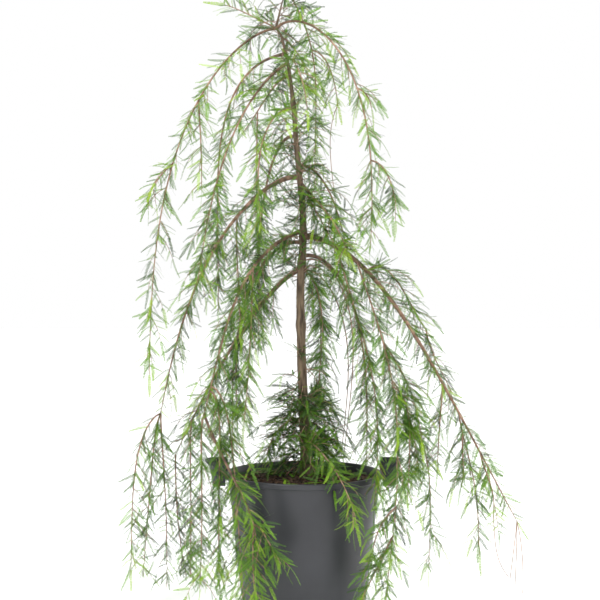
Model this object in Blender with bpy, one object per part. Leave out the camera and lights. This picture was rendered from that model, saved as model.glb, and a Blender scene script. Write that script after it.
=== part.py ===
"""Weeping bald cypress in a round nursery pot.

Metres, +Z up. The origin is the centre of the pot's flat underside. +X is the
plant's right as it is usually shown, -Y is its front.

The pot holds a plug of bark mulch, and the trunk stands on that with a flat cut.
Every limb and every hanging shoot is one curve of a single family: it leaves its
parent with one rise angle and eases to another along its length while its compass
bearing turns a little (see shoot_path). Masses of foliage are uneven sleeves round
stretches of those curves, as wide as their neighbours leave room for.
"""

import math

import bmesh
import bpy
import numpy as np
from mathutils import Vector

# ---------------------------------------------------------------- sizes (metres)
GAP = 0.0003                # between pieces that touch

POT_HEIGHT = 0.3845
POT_BASE_R = 0.163          # outer radius where the wall starts
POT_FOOT_R = 0.157          # flat ring and floor it stands on
POT_WALL_TOP_R = 0.2065     # outer radius just under the rim band
POT_WALL_BULGE = 0.85       # below 1 the wall swells a little on its way up
POT_WALL = 0.003
POT_FLOOR = 0.004
RIM_R = 0.2152
RIM_BAND = 0.0165           # height of the rolled band
POT_SIDES = 40

LUG_HALF_WIDTH = 0.054      # along the rim
LUG_LOW, LUG_HIGH = 0.354, 0.4175
LUG_REACH_LOW, LUG_REACH_HIGH = 0.0335, 0.0475
LUG_LIP = 0.0075
LUG_WALL = 0.0042

SOIL_EDGE_Z = 0.3615
SOIL_CROWN = 0.0145         # how far the mulch mounds up at the trunk
SOIL_FLAT_R = 0.034         # level patch that the trunk stands on

TRUNK_FOOT_Z = SOIL_EDGE_Z + SOIL_CROWN + GAP
TRUNK_TIP_Z = 1.702
TRUNK_R = 0.0145
TRUNK_TAPER = 0.65
FLARE_R, FLARE_H = 0.0105, 0.038
# the trunk's lean: how far its centre stands to the right at each height
LEAN = ((0.376, 0.0105), (0.43, 0.0070), (0.526, 0.0000), (0.718, -0.0071),
        (0.902, -0.0094), (1.006, -0.0030), (1.113, -0.0044), (1.192, -0.0123),
        (1.296, -0.0219), (1.390, -0.0293), (1.494, -0.0425), (1.578, -0.0622),
        (1.600, -0.0745), (1.636, -0.0685), (1.677, -0.0576), (1.702, -0.0439))
# old whorls, where the trunk is a little thicker: height, extra radius
KNOTS = ((0.785, 0.0028), (0.955, 0.0022), (1.035, 0.0018), (1.390, 0.0020))

FLOOR_CLEAR = 0.008         # foliage keeps off the ground by this
SEED = 61

# Shoots. parent None: it leaves the trunk at a height in metres; otherwise it
# leaves its parent at a share of the parent's length. Then bearing, rise angle
# at the start and at the end in degrees, length, the two exponents of the easing
# between those angles, and how far the bearing turns on the way.
SHOOTS = {
    # name                parent              at     brg  from   to  length  in   out  turn
    "far_left":          (None,              1.600,  217,   -9,  -89, 1.070, 0.65, 1.70, -50),
    "top_whip":          (None,              1.600,  155,   28,  -20, 0.165, 3.00, 0.30,  50),
    "upper_left_back":   (None,              1.530,  137,    1,  -97, 0.910, 1.40, 3.30, -44),
    "upper_left_front":  (None,              1.505,  228,  -28,  -81, 0.705, 0.90, 1.75, -20),
    "inner_left_back":   (None,              1.465,  113,   17,  -41, 0.290, 1.25, 4.00,  25),
    "inner_left_drop":   ("inner_left_back", 0.71,   106,  -84,  -83, 0.635, 0.95, 1.30, -50),
    "inner_left_front":  (None,              1.380,  257,  -10,  -97, 0.500, 2.35, 3.75, -31),
    "great_left":        (None,              1.190,  150,   35,  -79, 0.830, 0.40, 1.45,  50),
    "great_left_drop":   ("great_left",      0.27,   138,  -69,  -97, 0.310, 0.40, 2.10, -24),
    "tail_left_mid":     ("great_left",      1.00,   150,  -39,  -85, 0.470, 0.40, 3.85,  23),
    "tail_left_outer":   ("great_left",      1.00,   218,    0,  -89, 0.455, 0.55, 2.60,  11),
    "tail_left_inner":   ("great_left",      1.00,   232,  -85,  -97, 0.510, 0.40, 4.00,  50),
    "middle_left":       (None,              1.045,  219,  -17,  -75, 0.610, 1.45, 3.80, -10),
    "middle_left_drop":  ("middle_left",     0.33,   253,  -85,  -79, 0.415, 2.00, 0.55, -22),
    "tail_front_a":      ("middle_left",     1.00,   249,    2,  -97, 0.460, 0.40, 3.85,  50),
    "tail_front_b":      ("middle_left",     0.90,   310,   35,  -97, 0.530, 0.50, 4.00, -50),
    "pot_side":          ("middle_left",     0.88,   340,   47,  -86, 0.565, 0.40, 4.00,  18),
    "pot_front":         ("middle_left",     1.00,   305,  -54,  -97, 0.355, 3.00, 0.55,  50),
    "pot_front_drop":    ("pot_front",       0.88,   259,  -85,  -97, 0.185, 1.90, 2.65, -50),
    "pot_front_spur":    ("pot_front",       0.88,   332,   60,  -60, 0.125, 0.50, 4.00,  29),
    "low_left":          (None,              0.940,  133,    4,  -65, 0.695, 0.40, 1.45,  50),
    "low_left_drop":     ("low_left",        0.38,   127,  -29,  -97, 0.300, 0.70, 2.15, -23),
    "tail_back_a":       ("low_left",        1.00,    96,  -85,  -76, 0.380, 1.35, 2.15, -50),
    "tail_back_b":       ("low_left",        0.81,   120,   29,  -97, 0.490, 0.40, 3.30, -39),
    "top_right":         (None,              1.600,  322,   51,  -93, 0.780, 0.50, 1.60,  18),
    "top_right_spur":    ("top_right",       0.71,   331,  -10,  -77, 0.145, 0.95, 2.35,  -2),
    "leader_drop":       (None,              1.702,   37,  -51,  -97, 0.530, 1.90, 4.00,  50),
    "leader_spur":       ("leader_drop",     0.33,    34,    5,  -78, 0.185, 0.90, 2.40,   7),
    "inner_right_front": (None,              1.520,  286,  -10,  -79, 0.265, 0.90, 0.90,   5),
    "shoulder_back":     (None,              1.225,   47,    9,  -68, 0.340, 0.95, 2.45,   3),
    "shoulder_front":    (None,              1.180,  298,  -35,  -65, 0.280, 3.00, 2.35,  31),
    "great_right":       (None,              1.030,  350,    1,  -62, 0.985, 0.80, 4.00,   3),
    "great_right_back":  ("great_right",     0.21,    53,   41,  -55, 0.320, 1.10, 4.00, -28),
    "great_right_edge":  ("great_right_back", 1.00,   14,  -85,  -59, 0.200, 0.75, 2.20,  12),
    "curtain":           ("great_right",     0.17,   285,  -46,  -97, 0.930, 1.85, 4.00,  50),
    "curtain_inner":     ("great_right",     0.10,   299,  -63,  -94, 0.725, 2.80, 3.50,  38),
    "curtain_spur":      ("curtain",         0.29,    10,  -55,  -81, 0.225, 1.60, 1.05,  -1),
    "curtain_back":      ("curtain",         0.42,    40,   -2,  -95, 0.325, 0.75, 3.15,  12),
    "curtain_tail":      ("curtain",         0.83,   182,  -64,  -62, 0.175, 1.40, 0.85,   3),
    "tail_right_a":      ("curtain",         0.52,    63,   -9,  -97, 0.570, 2.00, 3.40,   6),
    "tail_right_b":      ("great_right",     0.58,   322,  -85,  -97, 0.240, 0.40, 4.00, -50),
    "tail_right_c":      ("great_right",     0.67,    75,  -46,  -87, 0.485, 3.00, 4.00, -32),
    "tail_right_d":      ("great_right",     0.79,   282,  -56,  -97, 0.160, 3.00, 1.40,  50),
    "behind_trunk":      (None,              0.935,   61,    0,  -80, 0.500, 1.05, 3.00,  50),
    "back_high":         (None,              1.300,  112,   22,  -92, 0.780, 0.90, 2.40,   0),
    "back_left":         (None,              1.010,  133,   22,  -92, 0.760, 0.70, 1.80,   0),
    "back_right":        (None,              0.975,   50,   15,  -92, 0.760, 0.80, 2.00,   0),
    "foot_left":         (None,              0.530,  200,   10,  -80, 0.170, 1.00, 1.50,   0),
    "foot_right":        (None,              0.520,   35,   10,  -85, 0.130, 1.00, 1.50,   0),
    "rim_front":         (None,              0.455,  271,   31,  -80, 0.390, 0.80, 0.92,  60),
}

# Limbs that show bare wood: node, shoot, from, to (shares of its length), thick and thin radius
BOUGHS = (
    ("bough_far_left",         "far_left",         0.00, 0.165, 0.0034, 0.0026),
    ("bough_upper_left_back",  "upper_left_back",  0.00, 0.150, 0.0042, 0.0032),
    ("bough_upper_left_front", "upper_left_front", 0.00, 0.270, 0.0040, 0.0027),
    ("bough_inner_left_back",  "inner_left_back",  0.00, 0.260, 0.0040, 0.0030),
    ("bough_inner_left_front", "inner_left_front", 0.00, 0.280, 0.0038, 0.0026),
    ("bough_great_left",       "great_left",       0.00, 0.200, 0.0066, 0.0050),
    ("bough_middle_left",      "middle_left",      0.00, 0.300, 0.0058, 0.0044),
    ("bough_low_left",         "low_left",         0.00, 0.330, 0.0072, 0.0052),
    ("bough_pot_front",        "pot_front",        0.16, 0.830, 0.0036, 0.0026),
    ("bough_top_right",        "top_right",        0.00, 0.200, 0.0034, 0.0026),
    ("bough_shoulder_back",    "shoulder_back",    0.00, 0.300, 0.0040, 0.0030),
    ("bough_shoulder_front",   "shoulder_front",   0.00, 0.260, 0.0042, 0.0032),
    ("bough_great_right",      "great_right",      0.00, 0.240, 0.0074, 0.0058),
    ("bough_back_high",        "back_high",        0.00, 0.260, 0.0046, 0.0034),
    ("bough_back_left",        "back_left",        0.00, 0.260, 0.0052, 0.0038),
    ("bough_back_right",       "back_right",       0.00, 0.260, 0.0052, 0.0038),
)

# Masses of foliage: node, half width, then the stretches that they wrap
# (shoot, from, to, how far past it the sprays hang)
MASSES = (
    ("foliage_crown_top_left",      0.034, (("top_whip", 0.12, 1.0, 0.020),)),
    ("foliage_far_left_arch",       0.036, (("far_left", 0.175, 0.46, 0.0),)),
    ("foliage_far_left_hanging",    0.040, (("far_left", 0.485, 1.0, 0.045),)),
    ("foliage_upper_left_arch",     0.036, (("upper_left_back", 0.16, 0.48, 0.0),)),
    ("foliage_upper_left_hanging",  0.037, (("upper_left_back", 0.505, 1.0, 0.040),)),
    ("foliage_upper_left_front",    0.037, (("upper_left_front", 0.29, 1.0, 0.040),)),
    ("foliage_inner_left_back",     0.034, (("inner_left_back", 0.28, 1.0, 0.030),
                                            ("inner_left_drop", 0.00, 1.0, 0.040))),
    ("foliage_inner_left_front",    0.035, (("inner_left_front", 0.30, 1.0, 0.035),)),
    ("foliage_great_left_arch",     0.040, (("great_left", 0.215, 0.50, 0.0),
                                            ("great_left_drop", 0.00, 1.0, 0.030))),
    ("foliage_great_left_hanging",  0.038, (("great_left", 0.525, 0.82, 0.0),)),
    ("foliage_left_tails",          0.044, (("great_left", 0.85, 1.0, 0.0),
                                            ("tail_left_mid", 0.0, 1.0, 0.025),
                                            ("tail_left_outer", 0.0, 1.0, 0.030),
                                            ("tail_left_inner", 0.0, 1.0, 0.0))),
    ("foliage_middle_left",         0.042, (("middle_left", 0.315, 0.86, 0.0),
                                            ("middle_left_drop", 0.0, 1.0, 0.030))),
    ("foliage_front_left_tails",    0.036, (("middle_left", 0.885, 0.99, 0.0),
                                            ("tail_front_a", 0.0, 1.0, 0.030),
                                            ("tail_front_b", 0.0, 1.0, 0.030))),
    ("foliage_pot_side",            0.034, (("pot_side", 0.12, 1.0, 0.030),)),
    ("foliage_pot_front",           0.036, (("pot_front", 0.86, 1.0, 0.0),
                                            ("pot_front_drop", 0.0, 1.0, 0.030),
                                            ("pot_front_spur", 0.0, 1.0, 0.010))),
    ("foliage_low_left",            0.042, (("low_left", 0.345, 1.0, 0.0),
                                            ("low_left_drop", 0.0, 1.0, 0.030),
                                            ("tail_back_b", 0.0, 1.0, 0.020))),
    ("foliage_back_left_tail",      0.036, (("tail_back_a", 0.06, 1.0, 0.0),)),
    ("foliage_top_right_arch",      0.036, (("top_right", 0.215, 0.60, 0.0),)),
    ("foliage_top_right_hanging",   0.036, (("top_right", 0.63, 1.0, 0.040),
                                            ("top_right_spur", 0.0, 1.0, 0.025))),
    ("foliage_leader",              0.038, (("leader_drop", 0.03, 0.70, 0.0),
                                            ("leader_spur", 0.0, 1.0, 0.030))),
    ("foliage_inner_right_front",   0.034, (("inner_right_front", 0.22, 1.0, 0.030),)),
    ("foliage_shoulder_back",       0.035, (("shoulder_back", 0.32, 1.0, 0.030),)),
    ("foliage_shoulder_front",      0.035, (("shoulder_front", 0.28, 1.0, 0.025),)),
    ("foliage_great_right_arch",    0.040, (("great_right", 0.255, 0.48, 0.0),)),
    ("foliage_great_right_middle",  0.044, (("great_right", 0.505, 0.76, 0.0),
                                            ("tail_right_b", 0.0, 1.0, 0.030))),
    ("foliage_great_right_tip",     0.042, (("great_right", 0.785, 1.0, 0.045),
                                            ("tail_right_d", 0.0, 1.0, 0.030))),
    ("foliage_right_shoulder",      0.037, (("great_right_back", 0.25, 1.0, 0.0),
                                            ("great_right_edge", 0.0, 1.0, 0.020))),
    ("foliage_right_back_tail",     0.036, (("tail_right_c", 0.18, 1.0, 0.035),)),
    ("foliage_curtain_upper",       0.038, (("curtain", 0.10, 0.385, 0.0),
                                            ("curtain_spur", 0.0, 1.0, 0.020))),
    ("foliage_curtain_middle",      0.040, (("curtain", 0.41, 0.66, 0.0),
                                            ("curtain_back", 0.0, 1.0, 0.030),
                                            ("tail_right_a", 0.0, 1.0, 0.030))),
    ("foliage_curtain_lower",       0.038, (("curtain", 0.69, 1.0, 0.035),
                                            ("curtain_tail", 0.0, 1.0, 0.020))),
    ("foliage_curtain_inner",       0.034, (("curtain_inner", 0.16, 1.0, 0.030),)),
    ("foliage_behind_trunk",        0.034, (("behind_trunk", 0.07, 1.0, 0.030),)),
    ("foliage_back_high",           0.038, (("back_high", 0.28, 1.0, 0.040),)),
    ("foliage_back_left",           0.040, (("back_left", 0.28, 1.0, 0.040),)),
    ("foliage_back_right",          0.040, (("back_right", 0.28, 1.0, 0.040),)),
    ("foliage_foot_left",           0.046, (("foot_left", 0.30, 1.0, 0.020),)),
    ("foliage_foot_right",          0.036, (("foot_right", 0.35, 1.0, 0.020),)),
    ("foliage_rim_front",           0.026, (("rim_front", 0.22, 1.0, 0.025),)),
)

SLEEVE_SIDES = 8
SLEEVE_RING = 0.062         # one ring about this often along a sleeve
MERGED_TRIANGLES = 58       # for each stretch of a mass that wraps several shoots
VOXEL = 0.0085

# ---------------------------------------------------------------- colours
COLOURS = {
    "pot": ((0.030, 0.032, 0.037), 0.42),
    "lug": ((0.028, 0.030, 0.034), 0.42),
    "mulch": ((0.060, 0.032, 0.020), 0.95),
    "bark": ((0.205, 0.150, 0.098), 0.90),
    "bough": ((0.270, 0.150, 0.100), 0.80),
    "needles": ((0.115, 0.245, 0.045), 0.60),
}


def clear_scene():
    for ob in list(bpy.data.objects):
        bpy.data.objects.remove(ob, do_unlink=True)


def material_for(name, kind, shade=1.0):
    rgb, rough = COLOURS[kind]
    mat = bpy.data.materials.new(name)
    mat.use_nodes = True
    node = mat.node_tree.nodes.get("Principled BSDF")
    node.inputs["Base Color"].default_value = (*[min(1.0, c * shade) for c in rgb], 1.0)
    node.inputs["Roughness"].default_value = rough
    node.inputs["Metallic"].default_value = 0.0
    return mat


def add_object(name, points, faces, kind, root, shade=1.0, smooth=None):
    """One named piece; its own origin is its first point."""
    here = Vector(points[0])
    mesh = bpy.data.meshes.new(name)
    mesh.from_pydata([Vector(p) - here for p in points], [], faces)
    bm = bmesh.new()
    bm.from_mesh(mesh)
    bmesh.ops.recalc_face_normals(bm, faces=bm.faces)
    bm.to_mesh(mesh)
    bm.free()
    ob = bpy.data.objects.new(name, mesh)
    ob.location = here
    ob.parent = root
    mesh.materials.append(material_for(name, kind, shade))
    bpy.context.scene.collection.objects.link(ob)
    if smooth is not None:
        mesh.shade_smooth()
        mesh.set_sharp_from_angle(angle=math.radians(smooth))
    return ob


# ---------------------------------------------------------------- trunk
def smooth_between(table, z):
    """Catmull-Rom through a table of (z, value)."""
    zs = [row[0] for row in table]
    vs = [row[1] for row in table]
    if z <= zs[0]:
        return vs[0]
    if z >= zs[-1]:
        return vs[-1]
    i = max(k for k in range(len(zs) - 1) if zs[k] <= z)
    t = (z - zs[i]) / (zs[i + 1] - zs[i])

    def slope(k):
        a, b = max(k - 1, 0), min(k + 1, len(zs) - 1)
        return (vs[b] - vs[a]) / (zs[b] - zs[a])

    h = zs[i + 1] - zs[i]
    return ((2 * t**3 - 3 * t**2 + 1) * vs[i] + (t**3 - 2 * t**2 + t) * h * slope(i)
            + (3 * t**2 - 2 * t**3) * vs[i + 1] + (t**3 - t**2) * h * slope(i + 1))


def trunk_centre(z):
    return np.array([smooth_between(LEAN, z), 0.0, z])


def trunk_radius(z):
    u = min(max((z - TRUNK_FOOT_Z) / (TRUNK_TIP_Z - TRUNK_FOOT_Z), 0.0), 1.0)
    r = TRUNK_R * (1.0 - 0.985 * u) ** TRUNK_TAPER
    r += FLARE_R * math.exp(-(z - TRUNK_FOOT_Z) / FLARE_H)
    for height, extra in KNOTS:
        r += extra * math.exp(-(((z - height) / 0.016) ** 2))
    return r


# ---------------------------------------------------------------- shoots
STEPS = 60
_paths = {}


def shoot_path(name):
    """STEPS + 1 points. The rise angle eases from its first value to its last,
    and the bearing turns steadily."""
    if name in _paths:
        return _paths[name]
    parent, at, bearing, rise0, rise1, length, ease_in, ease_out, turn = SHOOTS[name]
    start = trunk_centre(at) if parent is None else path_point(parent, at)
    u = (np.arange(STEPS) + 0.5) / STEPS
    eased = 1.0 - (1.0 - u**ease_in) ** ease_out
    rise = np.radians(rise0 + (rise1 - rise0) * eased)
    brg = np.radians(bearing + turn * u)
    step = np.stack([np.cos(rise) * np.cos(brg), np.cos(rise) * np.sin(brg),
                     np.sin(rise)], 1) * (length / STEPS)
    _paths[name] = np.vstack([[start], start + np.cumsum(step, 0)])
    return _paths[name]


def path_point(name, share):
    path = shoot_path(name)
    m = min(max(share, 0.0), 1.0) * (len(path) - 1)
    i = min(int(m), len(path) - 2)
    return path[i] + (path[i + 1] - path[i]) * (m - i)


def stretch(name, a, b, over, spacing):
    """Points along a shoot from share a to share b, then over metres further down."""
    length = SHOOTS[name][5] * (b - a)
    n = max(3, int(round(length / spacing)) + 1)
    pts = [path_point(name, s) for s in np.linspace(a, b, n)]
    if over > 0:
        way = pts[-1] - pts[-2]
        way = way / np.linalg.norm(way) + np.array([0.0, 0.0, -0.6])
        way /= np.linalg.norm(way)
        pts.append(pts[-1] + way * over)
    return np.array(pts)


def frames_along(points):
    """A steady pair of cross directions at each point."""
    out = []
    side = None
    for i, p in enumerate(points):
        way = points[min(i + 1, len(points) - 1)] - points[max(i - 1, 0)]
        way = way / np.linalg.norm(way)
        if side is None:
            side = np.cross(way, (0.0, 0.0, 1.0))
            if np.linalg.norm(side) < 0.2:
                side = np.cross(way, (0.0, 1.0, 0.0))
        side = side - way * np.dot(side, way)
        side /= np.linalg.norm(side)
        out.append((p, way, side, np.cross(way, side)))
    return out


def tube(points, radii, sides, jag=None):
    """A closed tube: rings across the path, each with its radius, and flat ends.
    jag, if given, is a share of the radius for each ring and side."""
    verts, faces = [], []
    for i, (p, _, a, b) in enumerate(frames_along(points)):
        for k in range(sides):
            ang = 2 * math.pi * k / sides + (math.pi / sides if i % 2 else 0.0)
            r = radii[i] * (jag[i][k] if jag is not None else 1.0)
            verts.append(p + (a * math.cos(ang) + b * math.sin(ang)) * r)
    rings = len(points)
    for i in range(rings - 1):
        for k in range(sides):
            k2 = (k + 1) % sides
            lo, hi = i * sides, (i + 1) * sides
            if i % 2:       # the next ring is turned back by half a side
                faces += [(lo + k, lo + k2, hi + k2), (lo + k, hi + k2, hi + k)]
            else:
                faces += [(lo + k, lo + k2, hi + k), (lo + k2, hi + k2, hi + k)]
    faces.append(tuple(reversed(range(sides))))
    faces.append(tuple(range((rings - 1) * sides, rings * sides)))
    return verts, faces


# ---------------------------------------------------------------- pot and mulch
def wall_radius(z):
    top = POT_HEIGHT - RIM_BAND
    return POT_BASE_R + (POT_WALL_TOP_R - POT_BASE_R) * (max(z, 0.0) / top) ** POT_WALL_BULGE


def revolve(profile, sides):
    """Turn a profile whose first and last points lie on the axis."""
    verts = [(0.0, 0.0, profile[0][1])]
    inner = profile[1:-1]
    for r, z in inner:
        for k in range(sides):
            ang = 2 * math.pi * k / sides
            verts.append((r * math.cos(ang), r * math.sin(ang), z))
    verts.append((0.0, 0.0, profile[-1][1]))
    last = len(verts) - 1
    faces = []
    for k in range(sides):
        k2 = (k + 1) % sides
        faces.append((0, 1 + k2, 1 + k))
        for i in range(len(inner) - 1):
            a, b = 1 + i * sides, 1 + (i + 1) * sides
            faces.append((a + k, a + k2, b + k2, b + k))
        end = 1 + (len(inner) - 1) * sides
        faces.append((end + k, end + k2, last))
    return verts, faces


def make_pot(root):
    h, band, w = POT_HEIGHT, POT_HEIGHT - RIM_BAND, POT_WALL
    outer = [(0.0, 0.0), (POT_FOOT_R, 0.0), (wall_radius(0.007), 0.007)]
    outer += [(wall_radius(z), z) for z in (0.075, 0.170, 0.270)]
    outer += [(POT_WALL_TOP_R, band), (RIM_R - 0.0020, band + 0.0006),
              (RIM_R, band + 0.0040), (RIM_R, h - 0.0040), (RIM_R - 0.0018, h - 0.0006)]
    inner = [(RIM_R - 0.0060, h), (RIM_R - 0.0090, h - 0.0030),
             (POT_WALL_TOP_R - w, band - 0.0060)]
    inner += [(wall_radius(z) - w, z) for z in (0.270, 0.170, 0.075, 0.012)]
    inner += [(wall_radius(0.012) - w - 0.006, POT_FLOOR), (0.0, POT_FLOOR)]
    verts, faces = revolve(outer + inner, POT_SIDES)
    add_object("pot", verts, faces, "pot", root, smooth=35)


def make_lug(name, side, root):
    """A grip lug: a curved flap that leaves the rim, bulges outwards and flares to a lip."""
    n = 11
    # the flap's section: share of its height, how far out of its middle line
    section = [(0.00, -0.5), (0.45, -0.5), (0.86, -0.5), (0.985, 0.30),
               (1.00, 1.0), (0.93, 1.35), (0.80, 0.5), (0.40, 0.5), (0.00, 0.5)]
    verts, faces = [], []
    for i in range(n):
        s = -1.0 + 2.0 * i / (n - 1)
        y = LUG_HALF_WIDTH * math.sin(s * math.pi / 2)
        bulge = max(0.0, 1.0 - abs(s) ** 3.2) ** 0.75
        for up, out in section:
            reach = (LUG_REACH_LOW + (LUG_REACH_HIGH - LUG_REACH_LOW) * up**1.4) * bulge
            lip = LUG_LIP * max(0.0, up - 0.8) / 0.2 * (0.25 + 0.75 * bulge) if out > 0 else 0.0
            x = 0.2115 + LUG_WALL / 2 + reach + out * LUG_WALL * (1.0 if out < 1 else 0.6) + lip
            z = LUG_LOW + (LUG_HIGH - LUG_LOW) * up
            verts.append((side * x, y, z))
    m = len(section)
    for i in range(n - 1):
        for k in range(m):
            k2 = (k + 1) % m
            a, b = i * m, (i + 1) * m
            faces.append((a + k, a + k2, b + k2, b + k))
    faces.append(tuple(range(m)))
    faces.append(tuple(reversed(range((n - 1) * m, n * m))))
    add_object(name, verts, faces, "lug", root, smooth=40)


def soil_height(r):
    edge = wall_radius(SOIL_EDGE_Z) - POT_WALL
    if r <= SOIL_FLAT_R:
        return SOIL_EDGE_Z + SOIL_CROWN
    u = (r - SOIL_FLAT_R) / (edge - SOIL_FLAT_R)
    return SOIL_EDGE_Z + SOIL_CROWN * (1.0 - u * u * (3 - 2 * u))


def make_soil(root):
    rng = np.random.default_rng(SEED)
    inset = POT_WALL + GAP + 0.0002
    low = POT_FLOOR + GAP
    profile = [(0.0, low), (wall_radius(0.012) - inset - 0.0066, low)]
    profile += [(wall_radius(z) - inset - 0.0004, z) for z in (0.013, 0.075, 0.170, 0.270)]
    edge = wall_radius(0.350) - inset - 0.0010
    profile += [(edge, SOIL_EDGE_Z - 0.004)]
    tops = [0.165, 0.120, 0.078, SOIL_FLAT_R]
    profile += [(r, soil_height(r)) for r in tops]
    profile += [(0.0, soil_height(0.0))]
    sides = 24
    verts, faces = revolve(profile, sides)
    first = 1 + (len(profile) - 2 - len(tops)) * sides
    for i in range(first, first + (len(tops) - 1) * sides):     # the mulch is uneven
        x, y, z = verts[i]
        verts[i] = (x, y, z + float(rng.uniform(-0.0030, 0.0016)))
    add_object("soil", verts, faces, "mulch", root)


# ---------------------------------------------------------------- wood
def make_trunk(root):
    heights = [TRUNK_FOOT_Z, 0.395, 0.425, 0.47, 0.54, 0.63, 0.72, 0.765, 0.785, 0.805,
               0.87, 0.935, 0.957, 0.98, 1.035, 1.11, 1.20, 1.30, 1.375, 1.39, 1.41,
               1.47, 1.53, 1.575, 1.60, 1.64, 1.677, TRUNK_TIP_Z]
    sides = 9
    verts, faces = [], []
    for z in heights:
        c, r = trunk_centre(z), trunk_radius(z)
        for k in range(sides):
            ang = 2 * math.pi * k / sides
            # buttressed foot: the flare is stronger along three ribs
            rib = 1.0 + 0.16 * math.exp(-(z - TRUNK_FOOT_Z) / FLARE_H) * math.cos(3 * ang + 0.6)
            verts.append((c[0] + r * rib * math.cos(ang), c[1] + r * rib * math.sin(ang), z))
    for i in range(len(heights) - 1):
        for k in range(sides):
            k2 = (k + 1) % sides
            a, b = i * sides, (i + 1) * sides
            faces.append((a + k, a + k2, b + k2, b + k))
    faces.append(tuple(reversed(range(sides))))
    faces.append(tuple(range((len(heights) - 1) * sides, len(heights) * sides)))
    add_object("trunk", verts, faces, "bark", root, smooth=50)


def clear_of_trunk(p):
    """How far a point is from the trunk's surface."""
    z = min(max(p[2], TRUNK_FOOT_Z), TRUNK_TIP_Z)
    c = trunk_centre(z)
    return math.dist(p[:2], c[:2]) - trunk_radius(z) * 1.02


def bough_radius(row, share):
    """One taper from the thick end to the thin end, with a collar at the start."""
    _, _, a, b, thick, thin = row
    u = (share - a) / (b - a)
    return thin + (thick - thin) * (1 - u) ** 0.9 + 0.35 * thick * math.exp(-u / 0.09)


def make_bough(row, root):
    name, shoot, a, b, _, _ = row
    if SHOOTS[shoot][0] is None:    # it starts where it stands clear of the trunk
        while True:
            p, q = path_point(shoot, a), path_point(shoot, a + 0.01)
            way = (q - p) / np.linalg.norm(q - p)
            r = bough_radius(row, a)
            lean_in = r * math.sqrt(max(0.0, 1 - (way[0] ** 2 + way[1] ** 2)))
            if clear_of_trunk(p) >= GAP + lean_in:
                break
            a += 0.002
    length = SHOOTS[shoot][5] * (b - a)
    shares = np.linspace(a, b, max(4, int(length / 0.035) + 2))
    pts = [path_point(shoot, s) for s in shares]
    radii = [bough_radius(row, s) for s in shares]
    verts, faces = tube(np.array(pts), radii, 6)
    add_object(name, verts, faces, "bough", root, smooth=60)
    return np.array(pts), np.array(radii)


# ---------------------------------------------------------------- foliage
def obstacle_points():
    """Points on the axes of the trunk and of every bough, with the radius there."""
    pts, radii = [], []
    for z in np.arange(TRUNK_FOOT_Z, TRUNK_TIP_Z + 0.004, 0.008):
        pts.append(trunk_centre(min(z, TRUNK_TIP_Z)))
        radii.append(trunk_radius(min(z, TRUNK_TIP_Z)) * 1.05)
    for row in BOUGHS:
        _, shoot, a, b, _, _ = row
        for s in np.arange(a, b + 0.004, 0.008):
            pts.append(path_point(shoot, min(s, b)))
            radii.append(bough_radius(row, min(s, b)))
    return np.array(pts), np.array(radii)


def pot_clearance(p):
    """How far a point is from the pot, its lugs, the mulch and the ground."""
    r, z = math.hypot(p[0], p[1]), p[2]
    best = z - FLOOR_CLEAR
    if z < POT_HEIGHT:
        band = z > POT_HEIGHT - RIM_BAND - 0.03
        wall = RIM_R if band else wall_radius(z)
        if r > wall:
            best = min(best, r - wall)
        else:
            best = min(best, z - soil_height(r) - 0.003)
    else:
        edge = math.hypot(max(0.0, abs(r - (RIM_R - 0.005)) - 0.005), z - POT_HEIGHT)
        best = min(best, edge)
        if r < RIM_R:
            best = min(best, z - soil_height(r) - 0.003)
    # a lug as a block
    x0, x1 = 0.206, 0.2115 + LUG_REACH_HIGH + LUG_LIP + 0.012
    dx = max(x0 - abs(p[0]), 0.0, abs(p[0]) - x1)
    dy = max(0.0, abs(p[1]) - LUG_HALF_WIDTH - 0.003)
    dz = max(LUG_LOW - z, 0.0, z - LUG_HIGH - 0.002)
    return min(best, math.sqrt(dx * dx + dy * dy + dz * dz))


def sleeve_profile(u):
    """Slim where the shoot enters, full along the middle, drawn in at the hanging end."""
    return (0.42 + 0.58 * min(1.0, u / 0.16)) * (0.34 + 0.66 * min(1.0, (1.0 - u) / 0.17) ** 0.8)


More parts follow.
